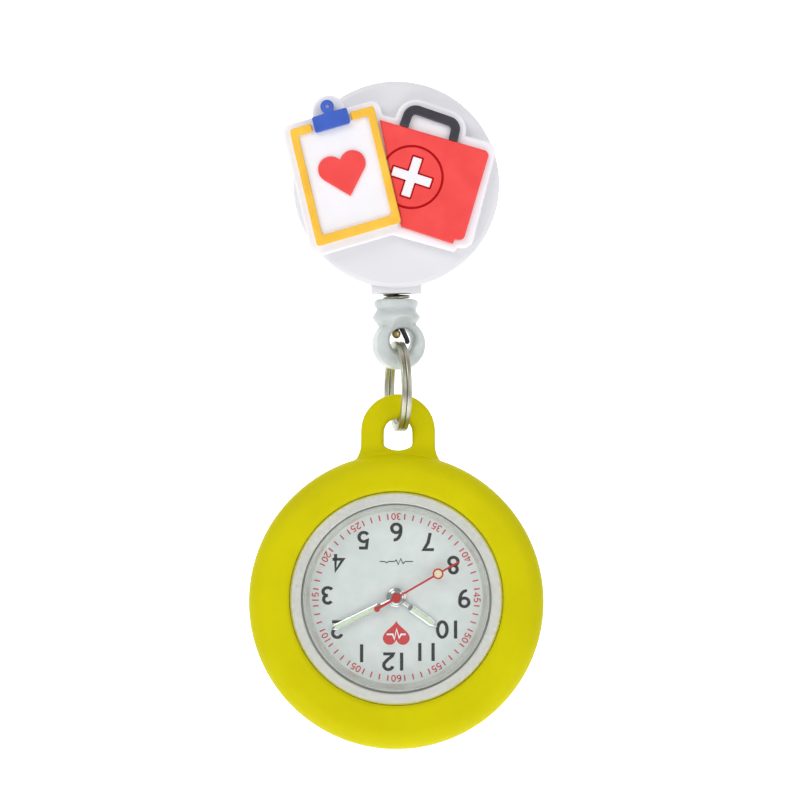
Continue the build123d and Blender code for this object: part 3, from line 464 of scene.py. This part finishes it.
# Strokes of each digit, in a cell 0.62 wide and 1 high
DIGITS = {
    "0": [arc(0.31, 0.5, 0.24, 0.43, 0, 360, 28)],
    "1": [[(0.31, 0.0), (0.31, 1.0)]],
    "2": [arc(0.31, 0.69, 0.23, 0.25, 165, -25) + [(0.36, 0.40), (0.12, 0.19), (0.07, 0.07), (0.57, 0.07)]],
    "3": [arc(0.30, 0.71, 0.21, 0.22, 150, -90), arc(0.30, 0.28, 0.24, 0.22, 90, -150)],
    "4": [[(0.44, 0.0), (0.44, 0.92), (0.06, 0.29), (0.60, 0.29)]],
    "5": [[(0.54, 0.93), (0.17, 0.93), (0.11, 0.50)] + arc(0.30, 0.32, 0.24, 0.26, 130, -150)],
    "6": [arc(0.31, 0.30, 0.23, 0.24, 0, 360, 24), arc(0.40, 0.40, 0.32, 0.54, 190, 82)],
    "7": [[(0.06, 0.93), (0.57, 0.93), (0.36, 0.55), (0.25, 0.0)]],
    "8": [arc(0.31, 0.72, 0.19, 0.21, 0, 360, 24), arc(0.31, 0.28, 0.23, 0.23, 0, 360, 24)],
    "9": [arc(0.31, 0.70, 0.23, 0.24, 0, 360, 24), arc(0.22, 0.60, 0.32, 0.54, 10, -98)],
}
INK_RISE = 0.02
DIGIT_SPREAD = 1.1


def stroke(shape, points, width, place):
    """Flat printed stroke along 2-D points: place(x, y, out) gives a point in the frame."""
    closed = math.dist(points[0], points[-1]) < 1e-6
    line = points[:-1] if closed else points
    count = len(line)
    rails = []
    for i in range(count):
        before = line[i - 1] if closed or i else line[i]
        after = line[(i + 1) % count] if closed or i < count - 1 else line[i]
        into = Vector((line[i][0] - before[0], line[i][1] - before[1]))
        away = Vector((after[0] - line[i][0], after[1] - line[i][1]))
        into = into.normalized() if into.length else away.normalized()
        away = away.normalized() if away.length else into
        along = (into + away).normalized()
        mitre = min(1.0 / max(along.dot(away), 0.35), 1.8)
        side = Vector((-along.y, along.x)) * width / 2 * mitre
        rails.append([shape.verts.new(place(line[i][0] + s * side.x, line[i][1] + s * side.y, out))
                      for s, out in ((-1, 0.0), (-1, INK_RISE), (1, INK_RISE), (1, 0.0))])
    pairs = list(zip(rails, rails[1:])) + ([(rails[-1], rails[0])] if closed else [])
    for a, b in pairs:
        for k in range(4):
            shape.faces.new((a[k], a[(k + 1) % 4], b[(k + 1) % 4], b[k]))
    if not closed:
        shape.faces.new(rails[0])
        shape.faces.new(rails[-1])


def write_number(shape, text, x, y, height, width, turn=0.0, spacing=0.67):
    """Digits centred on (x, y), turned clockwise by `turn` degrees."""
    total = spacing * (len(text) - 1) + 0.62
    angle = math.radians(turn)
    for position, digit in enumerate(text):
        left = position * spacing - total / 2

        def place(px, py, out, left=left):
            dx, dy = (px + left) * height * DIGIT_SPREAD, (py - 0.5) * height
            return on_dial(x + dx * math.cos(angle) + dy * math.sin(angle),
                           y - dx * math.sin(angle) + dy * math.cos(angle), out)

        for path in DIGITS[digit]:
            stroke(shape, path, width / height, place)


# Middle of each hour number, in mm from the dial's centre
HOURS = {12: (0.2, 10.0), 1: (5.4, 8.7), 2: (9.2, 5.0), 3: (10.7, -0.3),
         4: (9.05, -5.35), 5: (5.1, -8.9), 6: (0.0, -10.2), 7: (-5.1, -8.65),
         8: (-8.9, -5.0), 9: (-10.6, 0.2), 10: (-8.2, 5.0), 11: (-4.7, 8.5)}
HOUR_HEIGHT, HOUR_STROKE = 2.8, 0.47
TRACK_R, TICK_HALF, TICK_STROKE = 12.6, 0.45, 0.2
MINUTE_HEIGHT, MINUTE_STROKE, MINUTE_SPACING = 1.07, 0.16, 0.72


def hour_numbers(shape):
    for hour, (x, y) in HOURS.items():
        write_number(shape, str(hour), x, y, HOUR_HEIGHT, HOUR_STROKE)


def minute_track(shape):
    """A tick for each minute, and a two-figure number at each five."""
    for minute in range(1, 61):
        angle = math.radians(6 * minute)
        across, along = math.sin(angle), math.cos(angle)
        if minute % 5:
            ends = [(r * across, r * along) for r in (TRACK_R - TICK_HALF, TRACK_R + TICK_HALF)]
            stroke(shape, ends, TICK_STROKE, on_dial)
        else:
            lower_half = 20 <= minute <= 40
            turn = 6 * minute + (180 if lower_half else 0)
            write_number(shape, f"{minute:02d}", TRACK_R * across, TRACK_R * along,
                         MINUTE_HEIGHT, MINUTE_STROKE, turn, MINUTE_SPACING)


def heart_points(size, steps=40):
    """Outline of a heart about its own middle."""
    points = []
    for i in range(steps):
        t = 2 * math.pi * i / steps
        x = 16 * math.sin(t) ** 3
        y = 13 * math.cos(t) - 5 * math.cos(2 * t) - 2 * math.cos(3 * t) - math.cos(4 * t) + 2.5
        points.append((x * size / 32, y * size / 32))
    return points


MARK_AT, MARK_SIZE = (0.0, 5.5), 4.2
PULSE_STROKE, PULSE_LIFT = 0.26, 0.25
PULSE = [(-1.5, 0.0), (-0.75, 0.0), (-0.45, 0.55), (-0.05, -0.8), (0.3, 0.75), (0.55, 0.0), (1.5, 0.0)]


def heart_mark(shape):
    """Small printed heart above the hands."""
    rim = [on_dial(MARK_AT[0] + x, MARK_AT[1] + y, INK_RISE) for x, y in heart_points(MARK_SIZE)]
    foot = [on_dial(MARK_AT[0] + x, MARK_AT[1] + y, 0) for x, y in heart_points(MARK_SIZE)]
    top = [shape.verts.new(p) for p in rim]
    base = [shape.verts.new(p) for p in foot]
    shape.faces.new(top)
    shape.faces.new(base)
    for i in range(len(top)):
        j = (i + 1) % len(top)
        shape.faces.new((top[i], top[j], base[j], base[i]))


def heart_pulse(shape):
    """White pulse line across the heart, printed on top of it."""
    def place(x, y, out):
        return on_dial(MARK_AT[0] + x, MARK_AT[1] + y + PULSE_LIFT, INK_RISE + out)

    stroke(shape, PULSE, PULSE_STROKE, place)


def trace_ornament(shape):
    """Short pulse trace in place of a word, below the hands."""
    points = [(-2.6, 0), (-1.4, 0), (-1.05, 0.35), (-0.7, -0.45), (-0.3, 0.5), (0.0, -0.25), (0.3, 0.0),
              (1.2, 0.0), (1.5, 0.22), (1.8, 0.0), (2.6, 0.0)]
    stroke(shape, points, 0.14, lambda x, y, out: on_dial(x, y - 5.6, out))


for print_name, build, ink in (
        ("hour_numbers", hour_numbers, BLACK_INK),
        ("minute_track", minute_track, RED_INK),
        ("heart_mark", heart_mark, RED_INK),
        ("heart_pulse", heart_pulse, WHITE_INK),
        ("trace_ornament", trace_ornament, BLACK_INK)):
    new_piece(print_name, mesh_of(build, print_name), "watch", ink, smooth=False)


# ---------------------------------------------------------------- hands
def hand_direction(lume_node):
    """Way that a hand points, from the place of its luminous filling."""
    way = centre(lume_node) - WATCH
    way.y = 0
    return way.normalized()


def bevelled_hand(name, node, lume_node, body, sizes, hub_r):
    """Polished hand with a ridge each side of its filling, on a hub."""
    neck_end, neck_w, body_w, tip, point, window = sizes
    along = hand_direction(lume_node)
    side = Vector((0, -1, 0)).cross(along)
    low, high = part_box(node)
    back, front = high[1], low[1]
    edge_level = back + (front - back) * 0.45

    outer = [(neck_w / 2, 0.0), (neck_w / 2, neck_end), (body_w / 2, neck_end + 0.4),
             (body_w / 2, tip - point), (body_w * 0.28, tip - point * 0.35), (0.06, tip)]
    inner = [(0.04, 0.0), (0.04, neck_end), (window / 2 + 0.02, neck_end + 0.55),
             (window / 2 + 0.02, tip - point * 1.1), (0.07, tip - point * 0.6), (0.02, tip - 0.15)]

    def put(x, y, level):
        spot = WATCH + side * (x * MM) + along * (y * MM)
        return Vector((spot.x, level, spot.z))

    def build(shape):
        rim = outer + [(-x, y) for x, y in reversed(outer)]
        ridge = inner + [(-x, y) for x, y in reversed(inner)]
        base = [shape.verts.new(put(x, y, back)) for x, y in rim]
        edge = [shape.verts.new(put(x, y, edge_level)) for x, y in rim]
        crest = [shape.verts.new(put(x, y, front)) for x, y in ridge]
        count = len(rim)
        for i in range(count):
            j = (i + 1) % count
            shape.faces.new((base[i], base[j], edge[j], edge[i]))
            shape.faces.new((edge[i], edge[j], crest[j], crest[i]))
        shape.faces.new(base)
        for i in range(len(inner) - 1):
            shape.faces.new((crest[i], crest[i + 1], crest[count - 2 - i], crest[count - 1 - i]))
        steps = 40
        rings = []
        for radius, level in ((hub_r, back), (hub_r, edge_level), (hub_r - 0.24, front), (0.12, front)):
            rings.append([shape.verts.new(put(radius * math.sin(2 * math.pi * k / steps),
                                              radius * math.cos(2 * math.pi * k / steps), level))
                          for k in range(steps)])
        for a, b in zip(rings, rings[1:]):
            for k in range(steps):
                shape.faces.new((a[k], a[(k + 1) % steps], b[(k + 1) % steps], b[k]))
        shape.faces.new(rings[0])
        shape.faces.new(rings[-1])

    def fill(shape):
        half = window / 2
        rim = [(half, neck_end + 0.6), (half, tip - point * 1.1), (0.09, tip - point * 0.62)]
        rim += [(-x, y) for x, y in reversed(rim)]
        top = [shape.verts.new(put(x, y, front - 0.04 * MM)) for x, y in rim]
        foot = [shape.verts.new(put(x, y, front + 0.02 * MM)) for x, y in rim]
        shape.faces.new(top)
        shape.faces.new(foot)
        for i in range(len(rim)):
            j = (i + 1) % len(rim)
            shape.faces.new((top[i], top[j], foot[j], foot[i]))

    blade = new_piece(name, mesh_of(build, name), body, FINISHES["hand_chrome"],
                      smooth=False)
    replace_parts(blade, node)
    filling = new_piece(name + "_lume", mesh_of(fill, name + "_lume"), body, FINISHES["lume"],
                        smooth=False)
    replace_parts(filling, lume_node)


bevelled_hand("hour_blade", "hour_hand", "hour_lume", "hours", (2.4, 0.55, 1.12, 7.8, 1.1, 0.62), 1.5)
bevelled_hand("minute_blade", "minute_hand", "minute_lume", "minutes",
              (2.6, 0.45, 1.0, 11.2, 0.9, 0.66), 1.15)


# ---------------------------------------------------------------- cord between nozzle and connector
def cord_tube(shape):
    """Braided cord from the nozzle's mouth to the bead, in close rings."""
    low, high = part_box("pull_cord")
    radius, sides, rings = (high[0] - low[0]) / 2, 20, 48
    levels = []
    for k in range(rings + 1):
        z = high[2] + (low[2] - high[2]) * k / rings
        levels.append([shape.verts.new((radius * math.cos(2 * math.pi * i / sides),
                                        REEL.y + radius * math.sin(2 * math.pi * i / sides), z))
                       for i in range(sides)])
    for a, b in zip(levels, levels[1:]):
        for i in range(sides):
            shape.faces.new((a[i], a[(i + 1) % sides], b[(i + 1) % sides], b[i]))
    shape.faces.new(levels[0])
    shape.faces.new(levels[-1])


cord_piece = new_piece("pull_cord_braid", mesh_of(cord_tube, "pull_cord_braid"), None,
                       FINISHES["cord_nylon"])
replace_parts(cord_piece, "pull_cord")
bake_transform(cord_piece)


def smooth_path(points, steps=8):
    """Points of a smooth curve through the given ones."""
    path = []
    for i in range(len(points) - 1):
        p0, p1 = points[max(i - 1, 0)], points[i]
        p2, p3 = points[i + 1], points[min(i + 2, len(points) - 1)]
        for k in range(steps):
            t = k / steps
            path.append(0.5 * (2 * p1 + (p2 - p0) * t + (2 * p0 - 5 * p1 + 4 * p2 - p3) * t ** 2
                               + (3 * p1 - p0 - 3 * p2 + p3) * t ** 3))
    path.append(points[-1])
    return path


def tube(shape, path, radius, aside):
    """Round wire along a path that stays roughly square to `aside`."""
    sides = 16
    rings = []
    for i, place in enumerate(path):
        along = (path[min(i + 1, len(path) - 1)] - path[max(i - 1, 0)]).normalized()
        across = along.cross(aside).normalized()
        third = along.cross(across)
        rings.append([shape.verts.new(place + radius * (across * math.cos(2 * math.pi * k / sides)
                                                        + third * math.sin(2 * math.pi * k / sides)))
                      for k in range(sides)])
    for a, b in zip(rings, rings[1:]):
        for k in range(sides):
            shape.faces.new((a[k], a[(k + 1) % sides], b[(k + 1) % sides], b[k]))
    shape.faces.new(rings[0])
    shape.faces.new(rings[-1])


def cord_loop(shape):
    """End of the cord, coming down to the right of the bead and back behind the ring."""
    bead = centre("crimp_bead")
    strand_r = 0.38 * MM
    turns = [(0.3, 0, 1.6), (0.75, 0, 1.0), (1.15, -0.1, 0.3),
             (1.5, -0.1, -0.45), (1.7, 0.15, -0.95), (1.7, 0.7, -1.15)]
    tube(shape, smooth_path([bead + Vector(turn) * MM for turn in turns]), strand_r, Vector((0, 1, 0)))


new_piece("cord_loop", mesh_of(cord_loop, "cord_loop"), "cord_end", FINISHES["cord_nylon"])


# ---------------------------------------------------------------- spring of the clip
PIN = Vector(joints["clip_open"]["pos_m"])
COIL_R, SPRING_WIRE, COIL_TURNS, COIL_HALF = 1.25, 0.24, 8, 2.2


def spring_leg(side):
    """Straight leg of the clip's spring, from the coil up its plate."""
    foot = PIN + Vector((side * COIL_HALF, side * COIL_R, 0)) * MM
    return [foot, foot + Vector((0, side * 0.4, 2.05)) * MM, foot + Vector((0, side * 0.8, 4.1)) * MM]


def spring_coil(shape):
    """Close turns about the pin, and half a turn more, ending in the leg that leans on the base."""
    steps_each = 24
    steps = steps_each * COIL_TURNS
    turns = []
    for k in range(steps + 1):
        angle = 2 * math.pi * k / steps_each + math.pi * k / steps
        turns.append(PIN + Vector((COIL_HALF - 2 * COIL_HALF * k / steps,
                                   COIL_R * math.cos(angle), -COIL_R * math.sin(angle))) * MM)
    tube(shape, turns + spring_leg(-1)[1:], SPRING_WIRE * MM, Vector((1, 0, 0)))


def lever_leg(shape):
    """The other leg, which leans on the lever."""
    tube(shape, spring_leg(1), SPRING_WIRE * MM, Vector((1, 0, 0)))


coil_piece = new_piece("clip_spring_coil", mesh_of(spring_coil, "clip_spring_coil"), "clip_base",
                       FINISHES["spring_steel"])
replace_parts(coil_piece, "clip_spring")
new_piece("clip_spring_leg", mesh_of(lever_leg, "clip_spring_leg"), "clip_lever",
          FINISHES["spring_steel"])


# ---------------------------------------------------------------- painted shade in the first-aid bag's groove and recess
BAG_MARK, BAG_TILT = (2.37, 0.95), -18.0
GROOVE_R, GROOVE_W = 4.775, 0.33
PLUS_HALF, PLUS_W = 3.36, 1.88


def bag_lines(shape):
    """Painted shade: dark red laid on the floor of the bag's round groove, and in the recess around its plus."""
    floor_y = front_of("kit_plus") + 0.14 * MM
    tilt = math.radians(BAG_TILT)

    def place(x, y, out):
        return Vector((REEL.x + (BAG_MARK[0] + x * math.cos(tilt) - y * math.sin(tilt)) * MM,
                       floor_y - out * MM,
                       REEL.z + (BAG_MARK[1] + x * math.sin(tilt) + y * math.cos(tilt)) * MM))

    stroke(shape, arc(0, 0, GROOVE_R, GROOVE_R, 0, 360, 96), GROOVE_W, place)
    stroke(shape, [(-PLUS_HALF, 0), (PLUS_HALF, 0)], PLUS_W, place)
    stroke(shape, [(0, -PLUS_HALF), (0, PLUS_HALF)], PLUS_W, place)


# Dark red sheet of painted shade, just behind the plus's face in the groove and the recess.
new_piece("bag_lines", mesh_of(bag_lines, "bag_lines"), "reel", GROOVE_PAINTED_SHADE, smooth=False)


# ---------------------------------------------------------------- room and light
def make_room():
    """White floor that curves up into a wall, below the watch even when its cord is pulled out."""
    depth, height, half_width, bend = 0.55, 1.8, 1.6, 0.25
    floor_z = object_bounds()[0].z - joints["cord_pull"]["range_m"][1] - 0.05
    profile = [(-1.2, floor_z), (depth - bend, floor_z)]
    bend_steps = 12
    for k in range(1, bend_steps + 1):
        angle = math.radians(90 * k / bend_steps)
        profile.append((depth - bend + bend * math.sin(angle), floor_z + bend * (1 - math.cos(angle))))
    profile.append((depth, floor_z + height))

    def build(shape):
        rows = [[shape.verts.new((x, y, z)) for y, z in profile] for x in (-half_width, half_width)]
        for i in range(len(profile) - 1):
            shape.faces.new((rows[0][i], rows[0][i + 1], rows[1][i + 1], rows[1][i]))

    finish = Finish("pale_floor", 0.9)
    finish.colour(finish.noise(6, 2), (0.93, 0.93, 0.93), (0.95, 0.95, 0.95))
    socket(finish.shader, "Emission Color", (1, 1, 1, 1))
    socket(finish.shader, "Emission Strength", 0.62)
    mesh = mesh_of(build, "floor")
    floor = bpy.data.objects.new("floor", mesh)
    scene.collection.objects.link(floor)
    finish_with(floor, finish.material)
    for polygon in mesh.polygons:
        polygon.use_smooth = True


def area_light(name, place, target, size, power):
    lamp = bpy.data.objects.new(name, bpy.data.lights.new(name, "AREA"))
    lamp.data.shape = "RECTANGLE"
    lamp.data.size, lamp.data.size_y = size
    lamp.data.energy = power
    lamp.location = place
    lamp.rotation_euler = (Vector(target) - Vector(place)).to_track_quat("-Z", "Y").to_euler()
    scene.collection.objects.link(lamp)


make_room()
AIM = (0, REEL.y, REEL.z - 45 * MM)
area_light("key", (-0.35, -0.45, 0.40), AIM, (0.5, 0.4), 1.8)
area_light("fill", (0.45, -0.50, 0.10), AIM, (0.4, 0.5), 1.0)
area_light("low", (-0.15, -0.40, -0.45), AIM, (0.5, 0.2), 0.45)

world = bpy.data.worlds.new("studio")
world.use_nodes = True
world.node_tree.nodes["Background"].inputs["Color"].default_value = (0.9, 0.91, 0.93, 1)
world.node_tree.nodes["Background"].inputs["Strength"].default_value = 0.5
scene.world = world
scene.view_settings.view_transform = "Standard"
